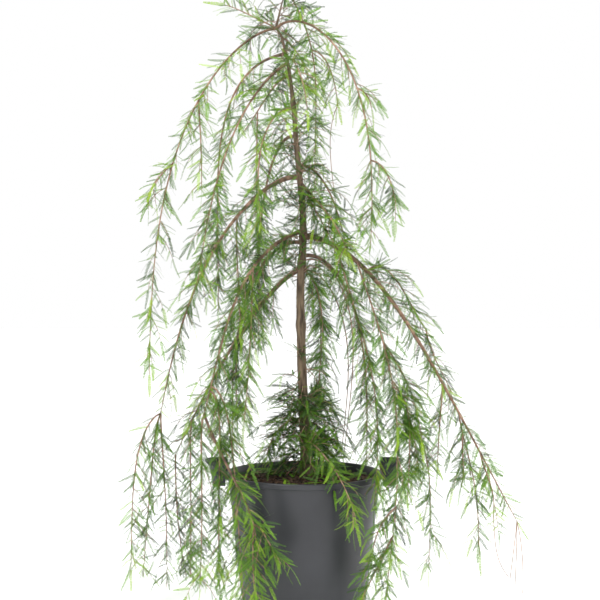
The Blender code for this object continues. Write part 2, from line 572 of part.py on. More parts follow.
def make_masses(root):
    limbs, limb_r = obstacle_points()
    axes = []
    for _, _, parts in MASSES:
        axes.append(np.vstack([stretch(s, a, b, over, 0.012) for s, a, b, over in parts]))
    for index, (name, width, parts) in enumerate(MASSES):
        rng = np.random.default_rng(SEED + 7 * index)
        others = np.vstack([ax for k, ax in enumerate(axes) if k != index])
        merged = len(parts) > 1
        margin = 0.0032 if merged else 0.0016
        pieces = []
        for shoot, a, b, over in parts:
            pts = stretch(shoot, a, b, over, SLEEVE_RING * (0.5 if merged else 1.0))
            n = len(pts)
            radii = []
            for i, p in enumerate(pts):
                r = width * sleeve_profile(i / (n - 1)) * rng.uniform(0.86, 1.08)
                r = min(r, 0.5 * np.linalg.norm(others - p, axis=1).min() - margin)
                r = min(r, (np.linalg.norm(limbs - p, axis=1) - limb_r).min() - margin)
                r = min(r, pot_clearance(p) - margin)
                radii.append(max(r, 0.004))
            jag = rng.uniform(0.70, 1.0, (n, SLEEVE_SIDES))
            pieces.append(tube(pts, radii, SLEEVE_SIDES, jag))
        shade = float(rng.uniform(0.75, 1.25))
        if not merged:
            add_object(name, *pieces[0], "needles", root, shade=shade)
            continue
        verts, faces = [], []
        for v, f in pieces:
            faces += [tuple(i + len(verts) for i in face) for face in f]
            verts += v
        ob = add_object(name, verts, faces, "needles", root, shade=shade)
        skin = ob.modifiers.new("one skin", "REMESH")
        skin.mode = "VOXEL"
        skin.voxel_size = VOXEL
        skin.adaptivity = 0.0
        found = ob.evaluated_get(bpy.context.evaluated_depsgraph_get())
        count = 2 * len(found.data.polygons)
        thin = ob.modifiers.new("coarse facets", "DECIMATE")
        thin.decimate_type = "COLLAPSE"
        thin.ratio = min(1.0, MERGED_TRIANGLES * sum(
            max(1.0, SHOOTS[s][5] * (b - a) / 0.25) for s, a, b, _ in parts) / count)


def main():
    clear_scene()
    root = bpy.data.objects.new("potted_tree", None)
    bpy.context.scene.collection.objects.link(root)
    make_pot(root)
    make_lug("pot_handle_left", -1, root)
    make_lug("pot_handle_right", 1, root)
    make_soil(root)
    make_trunk(root)
    for row in BOUGHS:
        make_bough(row, root)
    make_masses(root)


main()
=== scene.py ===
"""Looks of the potted weeping bald cypress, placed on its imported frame."""
import math

import bpy
import numpy as np
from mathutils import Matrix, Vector


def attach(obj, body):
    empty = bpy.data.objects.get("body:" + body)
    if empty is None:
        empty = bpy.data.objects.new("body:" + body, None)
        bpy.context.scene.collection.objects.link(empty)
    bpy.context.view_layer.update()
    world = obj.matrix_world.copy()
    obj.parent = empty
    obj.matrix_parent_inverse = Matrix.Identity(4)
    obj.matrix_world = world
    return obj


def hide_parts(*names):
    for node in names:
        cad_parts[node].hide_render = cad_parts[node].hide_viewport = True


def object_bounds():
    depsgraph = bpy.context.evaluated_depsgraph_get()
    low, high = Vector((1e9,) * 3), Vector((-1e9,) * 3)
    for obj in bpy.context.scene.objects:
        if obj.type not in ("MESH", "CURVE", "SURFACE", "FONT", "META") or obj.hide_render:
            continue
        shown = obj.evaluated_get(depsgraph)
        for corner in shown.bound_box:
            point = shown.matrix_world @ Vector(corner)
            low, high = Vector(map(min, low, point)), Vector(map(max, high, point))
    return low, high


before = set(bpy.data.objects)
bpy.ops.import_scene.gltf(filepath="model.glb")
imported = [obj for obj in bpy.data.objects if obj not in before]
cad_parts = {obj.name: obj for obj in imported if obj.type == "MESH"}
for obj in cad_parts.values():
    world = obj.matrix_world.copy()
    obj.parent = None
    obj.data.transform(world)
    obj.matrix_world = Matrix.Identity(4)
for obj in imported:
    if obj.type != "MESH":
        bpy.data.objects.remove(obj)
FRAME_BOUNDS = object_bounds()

GAP = 0.0003                # between pieces that touch

POT_HEIGHT = 0.3845
POT_BASE_R = 0.163          # outer radius where the wall starts
POT_FOOT_R = 0.157          # flat ring and floor it stands on
POT_WALL_TOP_R = 0.2065     # outer radius just under the rim band
POT_WALL_BULGE = 0.85       # below 1 the wall swells a little on its way up
POT_WALL = 0.003
POT_FLOOR = 0.004
RIM_R = 0.2152
RIM_BAND = 0.0165           # height of the rolled band
POT_SIDES = 40

LUG_HALF_WIDTH = 0.054      # along the rim
LUG_LOW, LUG_HIGH = 0.354, 0.4175
LUG_REACH_LOW, LUG_REACH_HIGH = 0.0335, 0.0475
LUG_LIP = 0.0075
LUG_WALL = 0.0042

SOIL_EDGE_Z = 0.3615
SOIL_CROWN = 0.0145         # how far the mulch mounds up at the trunk
SOIL_FLAT_R = 0.034         # level patch that the trunk stands on

TRUNK_FOOT_Z = SOIL_EDGE_Z + SOIL_CROWN + GAP
TRUNK_TIP_Z = 1.702
TRUNK_R = 0.0145
TRUNK_TAPER = 0.65
FLARE_R, FLARE_H = 0.0105, 0.038
# the trunk's lean: how far its centre stands to the right at each height
LEAN = ((0.376, 0.0105), (0.43, 0.0070), (0.526, 0.0000), (0.718, -0.0071),
        (0.902, -0.0094), (1.006, -0.0030), (1.113, -0.0044), (1.192, -0.0123),
        (1.296, -0.0219), (1.390, -0.0293), (1.494, -0.0425), (1.578, -0.0622),
        (1.600, -0.0745), (1.636, -0.0685), (1.677, -0.0576), (1.702, -0.0439))
# old whorls, where the trunk is a little thicker: height, extra radius
KNOTS = ((0.785, 0.0028), (0.955, 0.0022), (1.035, 0.0018), (1.390, 0.0020))


SHOOTS = {
    # name                parent              at     brg  from   to  length  in   out  turn
    "far_left":          (None,              1.600,  217,   -9,  -89, 1.070, 0.65, 1.70, -50),
    "top_whip":          (None,              1.600,  155,   28,  -20, 0.165, 3.00, 0.30,  50),
    "upper_left_back":   (None,              1.530,  137,    1,  -97, 0.910, 1.40, 3.30, -44),
    "upper_left_front":  (None,              1.505,  228,  -28,  -81, 0.705, 0.90, 1.75, -20),
    "inner_left_back":   (None,              1.465,  113,   17,  -41, 0.290, 1.25, 4.00,  25),
    "inner_left_drop":   ("inner_left_back", 0.71,   106,  -84,  -83, 0.635, 0.95, 1.30, -50),
    "inner_left_front":  (None,              1.380,  257,  -10,  -97, 0.500, 2.35, 3.75, -31),
    "great_left":        (None,              1.190,  150,   35,  -79, 0.830, 0.40, 1.45,  50),
    "great_left_drop":   ("great_left",      0.27,   138,  -69,  -97, 0.310, 0.40, 2.10, -24),
    "tail_left_mid":     ("great_left",      1.00,   150,  -39,  -85, 0.470, 0.40, 3.85,  23),
    "tail_left_outer":   ("great_left",      1.00,   218,    0,  -89, 0.455, 0.55, 2.60,  11),
    "tail_left_inner":   ("great_left",      1.00,   232,  -85,  -97, 0.510, 0.40, 4.00,  50),
    "middle_left":       (None,              1.045,  219,  -17,  -75, 0.610, 1.45, 3.80, -10),
    "middle_left_drop":  ("middle_left",     0.33,   253,  -85,  -79, 0.415, 2.00, 0.55, -22),
    "tail_front_a":      ("middle_left",     1.00,   249,    2,  -97, 0.460, 0.40, 3.85,  50),
    "tail_front_b":      ("middle_left",     0.90,   310,   35,  -97, 0.530, 0.50, 4.00, -50),
    "pot_side":          ("middle_left",     0.88,   340,   47,  -86, 0.565, 0.40, 4.00,  18),
    "pot_front":         ("middle_left",     1.00,   305,  -54,  -97, 0.355, 3.00, 0.55,  50),
    "pot_front_drop":    ("pot_front",       0.88,   259,  -85,  -97, 0.185, 1.90, 2.65, -50),
    "pot_front_spur":    ("pot_front",       0.88,   332,   60,  -60, 0.125, 0.50, 4.00,  29),
    "low_left":          (None,              0.940,  133,    4,  -65, 0.695, 0.40, 1.45,  50),
    "low_left_drop":     ("low_left",        0.38,   127,  -29,  -97, 0.300, 0.70, 2.15, -23),
    "tail_back_a":       ("low_left",        1.00,    96,  -85,  -76, 0.380, 1.35, 2.15, -50),
    "tail_back_b":       ("low_left",        0.81,   120,   29,  -97, 0.490, 0.40, 3.30, -39),
    "top_right":         (None,              1.600,  322,   51,  -93, 0.780, 0.50, 1.60,  18),
    "top_right_spur":    ("top_right",       0.71,   331,  -10,  -77, 0.145, 0.95, 2.35,  -2),
    "leader_drop":       (None,              1.702,   37,  -51,  -97, 0.530, 1.90, 4.00,  50),
    "leader_spur":       ("leader_drop",     0.33,    34,    5,  -78, 0.185, 0.90, 2.40,   7),
    "inner_right_front": (None,              1.520,  286,  -10,  -79, 0.265, 0.90, 0.90,   5),
    "shoulder_back":     (None,              1.225,   47,    9,  -68, 0.340, 0.95, 2.45,   3),
    "shoulder_front":    (None,              1.180,  298,  -35,  -65, 0.280, 3.00, 2.35,  31),
    "great_right":       (None,              1.030,  350,    1,  -62, 0.985, 0.80, 4.00,   3),
    "great_right_back":  ("great_right",     0.21,    53,   41,  -55, 0.320, 1.10, 4.00, -28),
    "great_right_edge":  ("great_right_back", 1.00,   14,  -85,  -59, 0.200, 0.75, 2.20,  12),
    "curtain":           ("great_right",     0.17,   285,  -46,  -97, 0.930, 1.85, 4.00,  50),
    "curtain_inner":     ("great_right",     0.10,   299,  -63,  -94, 0.725, 2.80, 3.50,  38),
    "curtain_spur":      ("curtain",         0.29,    10,  -55,  -81, 0.225, 1.60, 1.05,  -1),
    "curtain_back":      ("curtain",         0.42,    40,   -2,  -95, 0.325, 0.75, 3.15,  12),
    "curtain_tail":      ("curtain",         0.83,   182,  -64,  -62, 0.175, 1.40, 0.85,   3),
    "tail_right_a":      ("curtain",         0.52,    63,   -9,  -97, 0.570, 2.00, 3.40,   6),
    "tail_right_b":      ("great_right",     0.58,   322,  -85,  -97, 0.240, 0.40, 4.00, -50),
    "tail_right_c":      ("great_right",     0.67,    75,  -46,  -87, 0.485, 3.00, 4.00, -32),
    "tail_right_d":      ("great_right",     0.79,   282,  -56,  -97, 0.160, 3.00, 1.40,  50),
    "behind_trunk":      (None,              0.935,   61,    0,  -80, 0.500, 1.05, 3.00,  50),
    "back_high":         (None,              1.300,  112,   22,  -92, 0.780, 0.90, 2.40,   0),
    "back_left":         (None,              1.010,  133,   22,  -92, 0.760, 0.70, 1.80,   0),
    "back_right":        (None,              0.975,   50,   15,  -92, 0.760, 0.80, 2.00,   0),
    "foot_left":         (None,              0.530,  200,   10,  -80, 0.170, 1.00, 1.50,   0),
    "foot_right":        (None,              0.520,   35,   10,  -85, 0.130, 1.00, 1.50,   0),
    "rim_front":         (None,              0.455,  271,   31,  -80, 0.390, 0.80, 0.92,  60),
}

# thin shoots with no mass of their own: sprays, or bare
EXTRA = {
    "far_left_spur": ("far_left", 0.48, 197, -39, -69, 0.120, 1.05, 1.15, 0),
    "far_left_drop": ("far_left", 0.31, 139, -85, -97, 0.240, 0.40, 4.0, -50),
    "inner_right_back": (None, 1.575, 63, 4, -52, 0.190, 0.85, 1.2, -3),
    "shoulder_front_b": (None, 1.155, 296, 17, -54, 0.205, 0.5, 3.0, 31),
    "behind_trunk_b": (None, 0.935, 65, 7, -97, 0.440, 1.05, 4.0, -50),
    "top_right_curl": ("top_right", 0.46, 9, -16, -81, 0.070, 1.2, 1.7, 1),
    "curtain_tail_b": ("curtain", 0.75, 198, -36, -84, 0.150, 1.0, 1.3, 0),
    "curtain_spur_b": ("curtain", 0.40, 49, -30, -86, 0.290, 0.55, 0.95, -2),
    "foot_back_a": (None, 0.595, 57, -7, -63, 0.280, 1.65, 3.45, -5),
    "foot_back_b": (None, 0.470, 57, -18, -36, 0.195, 1.25, 0.65, 2),
    "tail_right_e": ("tail_right_c", 0.17, 75, -85, -20, 0.240, 1.75, 3.35, 10),
}
BARE = {
    "bare_a": (None, 0.960, 56, 19, -97, 0.720, 1.15, 4.0, -50),
    "bare_b": (None, 0.935, 70, 5, -97, 0.725, 1.55, 4.0, -50),
    "leader_thread": ("leader_spur", 1.0, 130, -50, -97, 0.310, 1.0, 4.0, 50),
    "thread_a": ("tail_right_d", 1.0, 62, -85, -49, 0.200, 3.0, 1.85, -38),
    "thread_b": ("great_right", 1.0, 348, -85, -97, 0.160, 0.4, 4.0, 1),
    "thread_c": ("great_right", 1.0, 61, -78, -97, 0.170, 0.4, 1.75, -7),
    "thread_d": ("great_right", 1.0, 284, -52, -94, 0.190, 0.75, 1.3, 2),
}
SHOOTS.update(EXTRA)
SHOOTS.update(BARE)

BOUGHS = (
    ("bough_far_left",         "far_left",         0.00, 0.165, 0.0034, 0.0026),
    ("bough_upper_left_back",  "upper_left_back",  0.00, 0.150, 0.0042, 0.0032),
    ("bough_upper_left_front", "upper_left_front", 0.00, 0.270, 0.0040, 0.0027),
    ("bough_inner_left_back",  "inner_left_back",  0.00, 0.260, 0.0040, 0.0030),
    ("bough_inner_left_front", "inner_left_front", 0.00, 0.280, 0.0038, 0.0026),
    ("bough_great_left",       "great_left",       0.00, 0.200, 0.0066, 0.0050),
    ("bough_middle_left",      "middle_left",      0.00, 0.300, 0.0058, 0.0044),
    ("bough_low_left",         "low_left",         0.00, 0.330, 0.0072, 0.0052),
    ("bough_pot_front",        "pot_front",        0.16, 0.830, 0.0036, 0.0026),
    ("bough_top_right",        "top_right",        0.00, 0.200, 0.0034, 0.0026),
    ("bough_shoulder_back",    "shoulder_back",    0.00, 0.300, 0.0040, 0.0030),
    ("bough_shoulder_front",   "shoulder_front",   0.00, 0.260, 0.0042, 0.0032),
    ("bough_great_right",      "great_right",      0.00, 0.240, 0.0074, 0.0058),
    ("bough_back_high",        "back_high",        0.00, 0.260, 0.0046, 0.0034),
    ("bough_back_left",        "back_left",        0.00, 0.260, 0.0052, 0.0038),
    ("bough_back_right",       "back_right",       0.00, 0.260, 0.0052, 0.0038),
)

MASSES = (
    ("foliage_crown_top_left",      0.034, (("top_whip", 0.12, 1.0, 0.020),)),
    ("foliage_far_left_arch",       0.036, (("far_left", 0.175, 0.46, 0.0),)),
    ("foliage_far_left_hanging",    0.040, (("far_left", 0.485, 1.0, 0.045),)),
    ("foliage_upper_left_arch",     0.036, (("upper_left_back", 0.16, 0.48, 0.0),)),
    ("foliage_upper_left_hanging",  0.037, (("upper_left_back", 0.505, 1.0, 0.040),)),
    ("foliage_upper_left_front",    0.037, (("upper_left_front", 0.29, 1.0, 0.040),)),
    ("foliage_inner_left_back",     0.034, (("inner_left_back", 0.28, 1.0, 0.030),
                                            ("inner_left_drop", 0.00, 1.0, 0.040))),
    ("foliage_inner_left_front",    0.035, (("inner_left_front", 0.30, 1.0, 0.035),)),
    ("foliage_great_left_arch",     0.040, (("great_left", 0.215, 0.50, 0.0),
                                            ("great_left_drop", 0.00, 1.0, 0.030))),
    ("foliage_great_left_hanging",  0.038, (("great_left", 0.525, 0.82, 0.0),)),
    ("foliage_left_tails",          0.044, (("great_left", 0.85, 1.0, 0.0),
                                            ("tail_left_mid", 0.0, 1.0, 0.025),
                                            ("tail_left_outer", 0.0, 1.0, 0.030),
                                            ("tail_left_inner", 0.0, 1.0, 0.0))),
    ("foliage_middle_left",         0.042, (("middle_left", 0.315, 0.86, 0.0),
                                            ("middle_left_drop", 0.0, 1.0, 0.030))),
    ("foliage_front_left_tails",    0.036, (("middle_left", 0.885, 0.99, 0.0),
                                            ("tail_front_a", 0.0, 1.0, 0.030),
                                            ("tail_front_b", 0.0, 1.0, 0.030))),
    ("foliage_pot_side",            0.034, (("pot_side", 0.12, 1.0, 0.030),)),
    ("foliage_pot_front",           0.036, (("pot_front", 0.86, 1.0, 0.0),
                                            ("pot_front_drop", 0.0, 1.0, 0.030),
                                            ("pot_front_spur", 0.0, 1.0, 0.010))),
    ("foliage_low_left",            0.042, (("low_left", 0.345, 1.0, 0.0),
                                            ("low_left_drop", 0.0, 1.0, 0.030),
                                            ("tail_back_b", 0.0, 1.0, 0.020))),
    ("foliage_back_left_tail",      0.036, (("tail_back_a", 0.06, 1.0, 0.0),)),
    ("foliage_top_right_arch",      0.036, (("top_right", 0.215, 0.60, 0.0),)),
    ("foliage_top_right_hanging",   0.036, (("top_right", 0.63, 1.0, 0.040),
                                            ("top_right_spur", 0.0, 1.0, 0.025))),
    ("foliage_leader",              0.038, (("leader_drop", 0.03, 0.70, 0.0),
                                            ("leader_spur", 0.0, 1.0, 0.030))),
    ("foliage_inner_right_front",   0.034, (("inner_right_front", 0.22, 1.0, 0.030),)),
    ("foliage_shoulder_back",       0.035, (("shoulder_back", 0.32, 1.0, 0.030),)),
    ("foliage_shoulder_front",      0.035, (("shoulder_front", 0.28, 1.0, 0.025),)),
    ("foliage_great_right_arch",    0.040, (("great_right", 0.255, 0.48, 0.0),)),
    ("foliage_great_right_middle",  0.044, (("great_right", 0.505, 0.76, 0.0),
                                            ("tail_right_b", 0.0, 1.0, 0.030))),
    ("foliage_great_right_tip",     0.042, (("great_right", 0.785, 1.0, 0.045),
                                            ("tail_right_d", 0.0, 1.0, 0.030))),
    ("foliage_right_shoulder",      0.037, (("great_right_back", 0.25, 1.0, 0.0),
                                            ("great_right_edge", 0.0, 1.0, 0.020))),
    ("foliage_right_back_tail",     0.036, (("tail_right_c", 0.18, 1.0, 0.035),)),
    ("foliage_curtain_upper",       0.038, (("curtain", 0.10, 0.385, 0.0),
                                            ("curtain_spur", 0.0, 1.0, 0.020))),
    ("foliage_curtain_middle",      0.040, (("curtain", 0.41, 0.66, 0.0),
                                            ("curtain_back", 0.0, 1.0, 0.030),
                                            ("tail_right_a", 0.0, 1.0, 0.030))),
    ("foliage_curtain_lower",       0.038, (("curtain", 0.69, 1.0, 0.035),
                                            ("curtain_tail", 0.0, 1.0, 0.020))),
    ("foliage_curtain_inner",       0.034, (("curtain_inner", 0.16, 1.0, 0.030),)),
    ("foliage_behind_trunk",        0.034, (("behind_trunk", 0.07, 1.0, 0.030),)),
    ("foliage_back_high",           0.038, (("back_high", 0.28, 1.0, 0.040),)),
    ("foliage_back_left",           0.040, (("back_left", 0.28, 1.0, 0.040),)),
    ("foliage_back_right",          0.040, (("back_right", 0.28, 1.0, 0.040),)),
    ("foliage_foot_left",           0.046, (("foot_left", 0.30, 1.0, 0.020),)),
    ("foliage_foot_right",          0.036, (("foot_right", 0.35, 1.0, 0.020),)),
    ("foliage_rim_front",           0.026, (("rim_front", 0.22, 1.0, 0.025),)),
)

def smooth_between(table, z):
    """Catmull-Rom through a table of (z, value)."""
    zs = [row[0] for row in table]
    vs = [row[1] for row in table]
    if z <= zs[0]:
        return vs[0]
    if z >= zs[-1]:
        return vs[-1]
    i = max(k for k in range(len(zs) - 1) if zs[k] <= z)
    t = (z - zs[i]) / (zs[i + 1] - zs[i])

    def slope(k):
        a, b = max(k - 1, 0), min(k + 1, len(zs) - 1)
        return (vs[b] - vs[a]) / (zs[b] - zs[a])

    h = zs[i + 1] - zs[i]
    return ((2 * t**3 - 3 * t**2 + 1) * vs[i] + (t**3 - 2 * t**2 + t) * h * slope(i)
            + (3 * t**2 - 2 * t**3) * vs[i + 1] + (t**3 - t**2) * h * slope(i + 1))


def trunk_centre(z):
    return np.array([smooth_between(LEAN, z), 0.0, z])


def trunk_radius(z):
    u = min(max((z - TRUNK_FOOT_Z) / (TRUNK_TIP_Z - TRUNK_FOOT_Z), 0.0), 1.0)
    r = TRUNK_R * (1.0 - 0.985 * u) ** TRUNK_TAPER
    r += FLARE_R * math.exp(-(z - TRUNK_FOOT_Z) / FLARE_H)
    for height, extra in KNOTS:
        r += extra * math.exp(-(((z - height) / 0.016) ** 2))
    return r


# ---------------------------------------------------------------- shoots
STEPS = 60
_paths = {}


def shoot_path(name):
    """STEPS + 1 points. The rise angle eases from its first value to its last,
    and the bearing turns steadily."""
    if name in _paths:
        return _paths[name]
    parent, at, bearing, rise0, rise1, length, ease_in, ease_out, turn = SHOOTS[name]
    start = trunk_centre(at) if parent is None else path_point(parent, at)
    u = (np.arange(STEPS) + 0.5) / STEPS
    eased = 1.0 - (1.0 - u**ease_in) ** ease_out
    rise = np.radians(rise0 + (rise1 - rise0) * eased)
    brg = np.radians(bearing + turn * u)
    step = np.stack([np.cos(rise) * np.cos(brg), np.cos(rise) * np.sin(brg),
                     np.sin(rise)], 1) * (length / STEPS)
    _paths[name] = np.vstack([[start], start + np.cumsum(step, 0)])
    return _paths[name]


def path_point(name, share):
    path = shoot_path(name)
    m = min(max(share, 0.0), 1.0) * (len(path) - 1)
    i = min(int(m), len(path) - 2)
    return path[i] + (path[i + 1] - path[i]) * (m - i)

def frames_along(points):
    """A steady pair of cross directions at each point."""
    out = []
    side = None
    for i, p in enumerate(points):
        way = points[min(i + 1, len(points) - 1)] - points[max(i - 1, 0)]
        way = way / np.linalg.norm(way)
        if side is None:
            side = np.cross(way, (0.0, 0.0, 1.0))
            if np.linalg.norm(side) < 0.2:
                side = np.cross(way, (0.0, 1.0, 0.0))
        side = side - way * np.dot(side, way)
        side /= np.linalg.norm(side)
        out.append((p, way, side, np.cross(way, side)))
    return out

def wall_radius(z):
    top = POT_HEIGHT - RIM_BAND
    return POT_BASE_R + (POT_WALL_TOP_R - POT_BASE_R) * (max(z, 0.0) / top) ** POT_WALL_BULGE

def revolve(profile, sides):
    """Turn a profile whose first and last points lie on the axis."""
    verts = [(0.0, 0.0, profile[0][1])]
    inner = profile[1:-1]
    for r, z in inner:
        for k in range(sides):
            ang = 2 * math.pi * k / sides
            verts.append((r * math.cos(ang), r * math.sin(ang), z))
    verts.append((0.0, 0.0, profile[-1][1]))
    last = len(verts) - 1
    faces = []
    for k in range(sides):
        k2 = (k + 1) % sides
        faces.append((0, 1 + k2, 1 + k))
        for i in range(len(inner) - 1):
            a, b = 1 + i * sides, 1 + (i + 1) * sides
            faces.append((a + k, a + k2, b + k2, b + k))
        end = 1 + (len(inner) - 1) * sides
        faces.append((end + k, end + k2, last))
    return verts, faces

def soil_height(r):
    edge = wall_radius(SOIL_EDGE_Z) - POT_WALL
    if r <= SOIL_FLAT_R:
        return SOIL_EDGE_Z + SOIL_CROWN
    u = (r - SOIL_FLAT_R) / (edge - SOIL_FLAT_R)
    return SOIL_EDGE_Z + SOIL_CROWN * (1.0 - u * u * (3 - 2 * u))


RNG = np.random.default_rng(2025)
# Needle greens in steps from painted shade (dark) to painted light (bright): lit and shaded copies of one
# green. The last, brown, lies past the steps that sprays pick.
NEEDLE_GREENS_PAINTED_LIGHT = ((0.015, 0.043, 0.006), (0.030, 0.082, 0.007), (0.056, 0.138, 0.009),
           (0.090, 0.215, 0.009), (0.140, 0.300, 0.010), (0.215, 0.390, 0.014),
           (0.310, 0.490, 0.020), (0.130, 0.075, 0.035))


# ---------------------------------------------------------------- materials
def principled(name, rgb, rough):
    mat = bpy.data.materials.new(name)
    mat.use_nodes = True
    node = mat.node_tree.nodes["Principled BSDF"]
    node.inputs["Base Color"].default_value = (*rgb, 1.0)
    node.inputs["Roughness"].default_value = rough
    return mat, node


def noisy(name, dark, light, scale, rough, bump=0.3, stretch_z=1.0):
    mat, node = principled(name, light, rough)
    tree = mat.node_tree
    coord = tree.nodes.new("ShaderNodeTexCoord")
    mapping = tree.nodes.new("ShaderNodeMapping")
    mapping.inputs["Scale"].default_value = (1.0, 1.0, stretch_z)
    noise = tree.nodes.new("ShaderNodeTexNoise")
    noise.inputs["Scale"].default_value = scale
    noise.inputs["Detail"].default_value = 6.0
    ramp = tree.nodes.new("ShaderNodeValToRGB")
    ramp.color_ramp.elements[0].position = 0.32
    ramp.color_ramp.elements[1].position = 0.68
    ramp.color_ramp.elements[0].color = (*dark, 1.0)
    ramp.color_ramp.elements[1].color = (*light, 1.0)
    bmp = tree.nodes.new("ShaderNodeBump")
    bmp.inputs["Strength"].default_value = bump
    bmp.inputs["Distance"].default_value = 0.001
    tree.links.new(coord.outputs["Object"], mapping.inputs["Vector"])
    tree.links.new(mapping.outputs["Vector"], noise.inputs["Vector"])
    tree.links.new(noise.outputs["Fac"], ramp.inputs["Fac"])
    tree.links.new(ramp.outputs["Color"], node.inputs["Base Color"])
    tree.links.new(noise.outputs["Fac"], bmp.inputs["Height"])
    tree.links.new(bmp.outputs["Normal"], node.inputs["Normal"])
    return mat


POT = noisy("pot_plastic", (0.020, 0.021, 0.025), (0.028, 0.0295, 0.035), 9.0, 0.38, 0.05)
BARK = noisy("bark", (0.045, 0.029, 0.018), (0.215, 0.155, 0.098), 130.0, 0.9, 0.8, 0.16)
YOUNG = noisy("young_bark", (0.170, 0.088, 0.056), (0.480, 0.300, 0.215), 60.0, 0.75, 0.4)
LIMB = noisy("bough_bark", (0.060, 0.036, 0.023), (0.270, 0.165, 0.110), 70.0, 0.85, 0.6)
EARTH = noisy("potting_mix", (0.016, 0.009, 0.006), (0.070, 0.037, 0.022), 90.0, 0.95, 0.9)
CHIPS = [noisy("chip_%d" % i, [c * 0.5 for c in rgb], rgb, 120.0, 0.9, 0.5) for i, rgb in
         enumerate(((0.060, 0.028, 0.015), (0.090, 0.044, 0.022), (0.035, 0.018, 0.011),
                    (0.140, 0.085, 0.050)))]
# one needle material for each painted light step, from painted shade to painted light
NEEDLES = []
for i, rgb in enumerate(NEEDLE_GREENS_PAINTED_LIGHT):
    mat, node = principled("needles_%d" % i, rgb, 0.55)
    NEEDLES.append(mat)


def mesh_piece(name, verts, tris, mats, index=None, smooth=True, nodes=()):
    verts, tris = np.asarray(verts, float), np.asarray(tris, int)
    mesh = bpy.data.meshes.new(name)
    mesh.vertices.add(len(verts))
    mesh.vertices.foreach_set("co", verts.astype(np.float32).ravel())
    mesh.loops.add(tris.size)
    mesh.loops.foreach_set("vertex_index", tris.astype(np.int32).ravel())
    mesh.polygons.add(len(tris))
    mesh.polygons.foreach_set("loop_start", np.arange(0, tris.size, 3, dtype=np.int32))
    for mat in mats:
        mesh.materials.append(mat)
    if index is not None:
        mesh.polygons.foreach_set("material_index", np.asarray(index, np.int32))
    mesh.polygons.foreach_set("use_smooth", np.full(len(tris), smooth))
    mesh.update(calc_edges=True)
    mesh.validate()
    ob = bpy.data.objects.new(name, mesh)
    bpy.context.scene.collection.objects.link(ob)
    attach(ob, "root")
    if nodes:
        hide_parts(*nodes)
    return ob


# ---------------------------------------------------------------- wood
def relief_tube(points, radii, sides, depth, store):
    verts, tris = store
    base = sum(len(v) for v in verts)
    n = len(points)
    out = np.zeros((n, sides, 3))
    ang = np.arange(sides) * 2 * math.pi / sides
    for i, (p, _, a, b) in enumerate(frames_along(points)):
        rough = 1 + depth * (0.6 * np.sin(5 * ang + 1.3 * math.sin(i * 0.11)) +
                             0.4 * np.sin(11 * ang + 2.0 * math.sin(i * 0.07 + 1)) +
                             0.5 * RNG.uniform(-1, 1, sides))
        r = radii[i] * rough
        out[i] = p + np.outer(np.cos(ang) * r, a) + np.outer(np.sin(ang) * r, b)
    verts.append(out.reshape(-1, 3))
    verts.append(np.array([points[0], points[-1]]))
    faces = []
    for i in range(n - 1):
        k = np.arange(sides)
        k2 = (k + 1) % sides
        lo, hi = base + i * sides, base + (i + 1) * sides
        faces.append(np.stack([lo + k, lo + k2, hi + k2], 1))
        faces.append(np.stack([lo + k, hi + k2, hi + k], 1))
    k = np.arange(sides)
    k2 = (k + 1) % sides
    first, last = base + n * sides, base + n * sides + 1
    faces.append(np.stack([np.full(sides, first), base + k2, base + k], 1))
    end = base + (n - 1) * sides
    faces.append(np.stack([np.full(sides, last), end + k, end + k2], 1))
    tris.append(np.vstack(faces))


def build_wood():
    store = ([], [])
    heights = np.linspace(TRUNK_FOOT_Z, TRUNK_TIP_Z, 520)
    relief_tube(np.array([trunk_centre(z) for z in heights]),
                [trunk_radius(z) for z in heights], 40, 0.07, store)
    mesh_piece("trunk_bark", np.vstack(store[0]), np.vstack(store[1]), [BARK],
               nodes=("trunk",))
    rows = {row[1]: row for row in BOUGHS}
    limbs, twigs = ([], []), ([], [])
    for name, row in SHOOTS.items():
        bough = rows.get(name)
        start_r = 0.0024 if name not in BARE or name.startswith("bare") else 0.0011
        a = 0.0
        if bough:
            a, thick, thin = bough[3], bough[4], bough[5]
            n = max(6, int(row[5] * a / 0.004))
            shares = np.linspace(bough[2], a, n)
            relief_tube(np.array([path_point(name, s) for s in shares]),
                        [thin + (thick - thin) * (1 - (s - bough[2]) / (a - bough[2])) ** 0.9
                         + 0.35 * thick * math.exp(-(s - bough[2]) / 0.03) for s in shares],
                        10, 0.07, limbs)
            start_r = thin
            if bough[2] > 0:
                relief_tube(np.array([path_point(name, s) for s in np.linspace(0, bough[2], 6)]),
                            [thick] * 6, 6, 0.03, limbs)
        shares = np.linspace(a, 1.0, max(5, int(row[5] * (1 - a) / 0.016)))
        end_r = 0.0009
        relief_tube(np.array([path_point(name, s) for s in shares]),
                    [end_r + (start_r - end_r) * (1 - (s - a) / (1.0001 - a)) ** 0.8
                     for s in shares], 5, 0.05, twigs)
    mesh_piece("bough_bark", np.vstack(limbs[0]), np.vstack(limbs[1]), [LIMB],
               nodes=[row[0] for row in BOUGHS])
    return twigs


